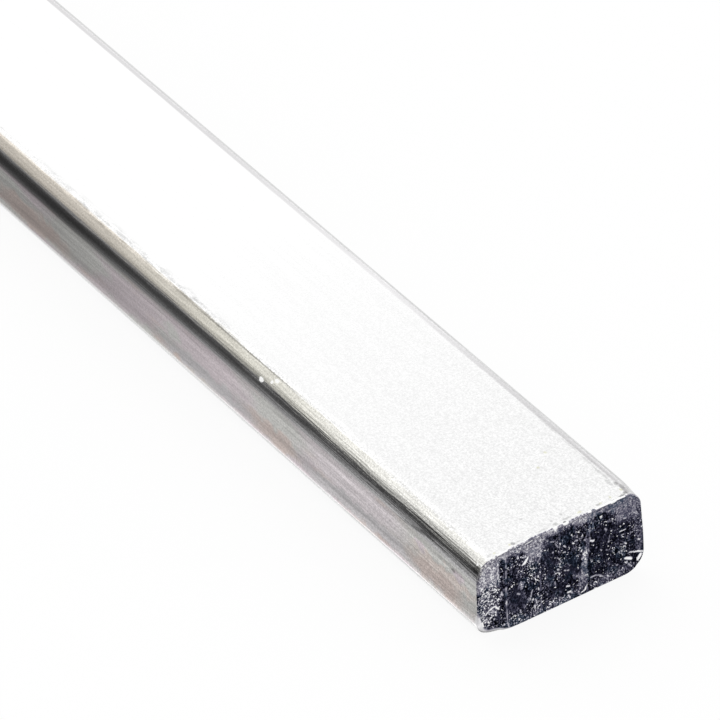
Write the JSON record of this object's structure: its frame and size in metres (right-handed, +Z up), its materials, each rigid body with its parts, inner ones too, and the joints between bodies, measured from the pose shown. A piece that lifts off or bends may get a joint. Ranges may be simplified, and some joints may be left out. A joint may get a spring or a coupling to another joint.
{
  "type": "metal flat bar",
  "caption": "Straight bright-drawn steel flat bar with rounded long edges and square cropped ends, a length of raw stock.",
  "frame": {"origin": "centre of the underside, midway along the bar", "axes": "+X along the bar towards the pictured cropped end, +Y across its width, +Z up through its thickness"},
  "size_m": [0.3048, 0.0126, 0.0063],
  "materials": {
    "bar_steel": "bright cold-drawn steel, smooth satin with fine drawing lines along the bar, and rough dark metal on the cropped ends"
  },
  "bodies": {
    "root": {"flat_bar": "bar_steel"}
  },
  "joints": []
}
